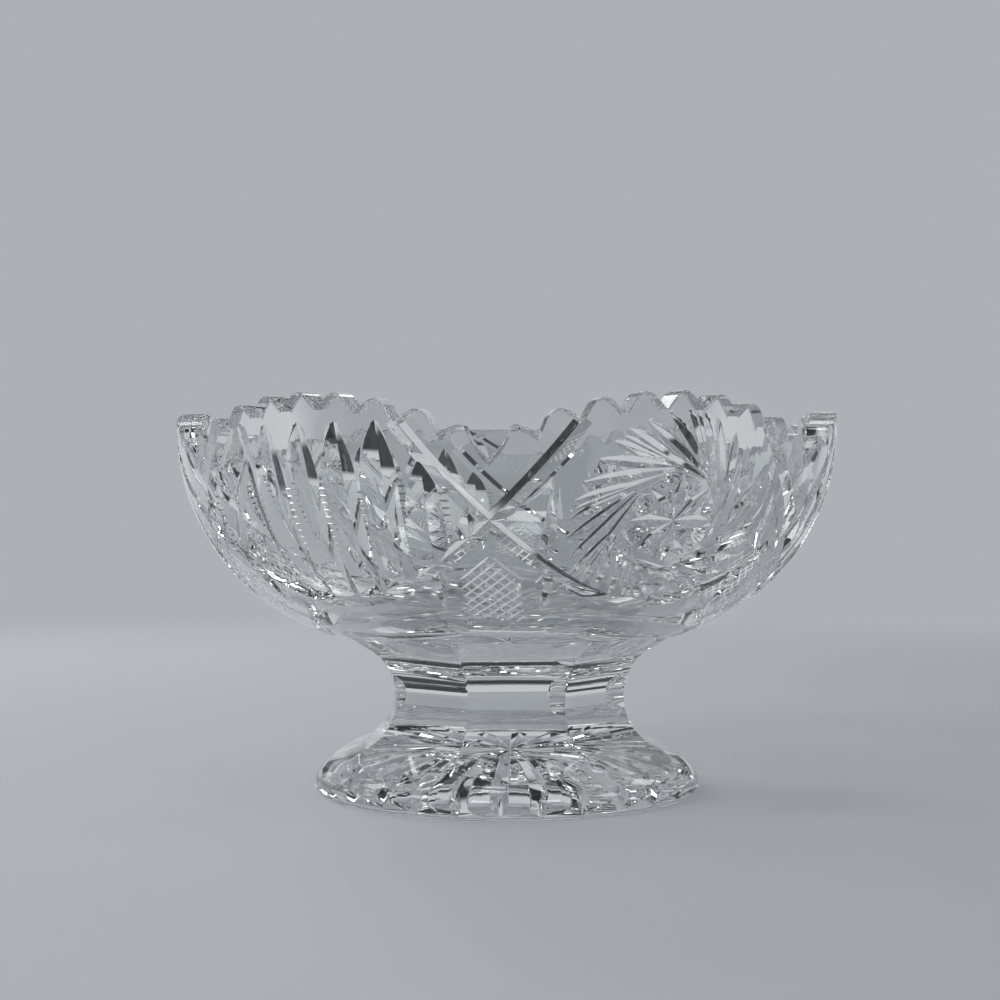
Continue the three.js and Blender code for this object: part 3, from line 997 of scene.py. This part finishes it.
finish_glass(bowl_piece(), "bowl", [BOWL_BASE])
finish_glass(stem_piece(), "stem", [BOWL_BASE, FOOT_TOP])
finish_glass(foot_piece(), "foot", [FOOT_TOP])


# Floor, world, lamps and camera

def floor():
    profile = [(0, 0)] + [(radius, 0) for radius in FLOOR_RINGS]
    disc = revolve("floor", profile, evenly(FLOOR_SEGMENTS))
    scene.collection.objects.link(disc)
    disc.data.materials.append(floor_material())
    disc.location.z = -FLOOR_DROP


def world():
    """Plain backdrop for the camera, even fill for the floor, and a room that only the glass shows."""
    made = bpy.data.worlds.new("studio")
    made.use_nodes = True
    scene.world = made
    tree = made.node_tree
    coords = tree.nodes.new("ShaderNodeTexCoord")
    split = tree.nodes.new("ShaderNodeSeparateXYZ")
    connect(tree, coords.outputs["Generated"], split.inputs["Vector"])
    up = split.outputs["Z"]
    path = tree.nodes.new("ShaderNodeLightPath").outputs
    bearing = math_node(tree, "ARCTAN2", split.outputs["X"], split.outputs["Y"])
    turned = math_node(tree, "MULTIPLY_ADD", bearing, OPENINGS, OPENINGS * rad(CAMERA_TURN))
    beside = ramp(tree, math_node(tree, "COSINE", turned), *OPENING_EDGE)
    left = ramp(tree, math_node(tree, "SINE", turned), *CURTAIN_EDGE)
    over_sill = ramp(tree, up, *SILL)
    under_lintel = math_node(tree, "SUBTRACT", 1, ramp(tree, up, *LINTEL))
    dark = math_node(tree, "MULTIPLY", over_sill, math_node(tree, "MAXIMUM", left, under_lintel))
    dark = math_node(tree, "MULTIPLY", beside, dark)
    room = blend(tree, math_node(tree, "MAXIMUM", beside, over_sill), BACKDROP, WINDOW)
    room = blend(tree, dark, room, CURTAIN)
    room = blend(tree, ramp(tree, up, *CEILING_EDGE), room, CEILING)
    room = blend(tree, path["Is Camera Ray"], room, BACKDROP)
    seen = tree.nodes["Background"]
    connect(tree, room, seen.inputs["Color"])
    fill = tree.nodes.new("ShaderNodeBackground")
    connect(tree, FILL, fill.inputs["Color"])
    sharp = math_node(tree, "MAXIMUM", path["Is Camera Ray"], path["Is Glossy Ray"])
    sharp = math_node(tree, "MAXIMUM", sharp, path["Is Transmission Ray"])
    both = mix_shaders(tree, sharp, fill.outputs["Background"], seen.outputs["Background"])
    connect(tree, both, tree.nodes["World Output"].inputs["Surface"])


def aim(thing, place, target):
    thing.location = place
    thing.rotation_euler = (target - Vector(place)).to_track_quat("-Z", "Y").to_euler()
    scene.collection.objects.link(thing)


def lamp(name, place, side, power, in_glass):
    light = bpy.data.lights.new(name, "AREA")
    light.size = side
    light.energy = power
    thing = bpy.data.objects.new(name, light)
    thing.visible_camera = False
    thing.visible_glossy = in_glass
    thing.visible_transmission = in_glass
    aim(thing, place, Vector((0, 0, LAMP_AIM_HEIGHT)))


def spots():
    """Ring of small lamps for the glints."""
    for spot in range(SPOTS):
        bearing = 2 * math.pi * (spot + SPOT_START) / SPOTS
        place = SPOT_RING * math.sin(bearing), SPOT_RING * math.cos(bearing), SPOT_HEIGHT
        lamp("spot_%d" % spot, place, SPOT_SIZE, SPOT_POWER, True)


def camera():
    lens = bpy.data.cameras.new("camera")
    lens.lens = CAMERA_LENS
    lens.sensor_width = CAMERA_SENSOR
    lens.clip_start = CAMERA_CLIP_START
    thing = bpy.data.objects.new("camera", lens)
    sin = math.sin(rad(CAMERA_TURN))
    cos = math.cos(rad(CAMERA_TURN))
    aside = Vector((cos, sin, 0)) * CAMERA_AIM_ASIDE
    place = CAMERA_DISTANCE * sin, -CAMERA_DISTANCE * cos, CAMERA_HEIGHT
    aim(thing, place, aside + Vector((0, 0, CAMERA_AIM_HEIGHT)))
    scene.camera = thing


floor()
world()
for given in LAMPS:
    lamp(*given)
spots()
camera()

scene.cycles.max_bounces = 32
scene.cycles.transmission_bounces = 32
scene.cycles.glossy_bounces = 16
scene.cycles.transparent_max_bounces = 32
scene.view_settings.view_transform = "Standard"

bpy.context.view_layer.update()
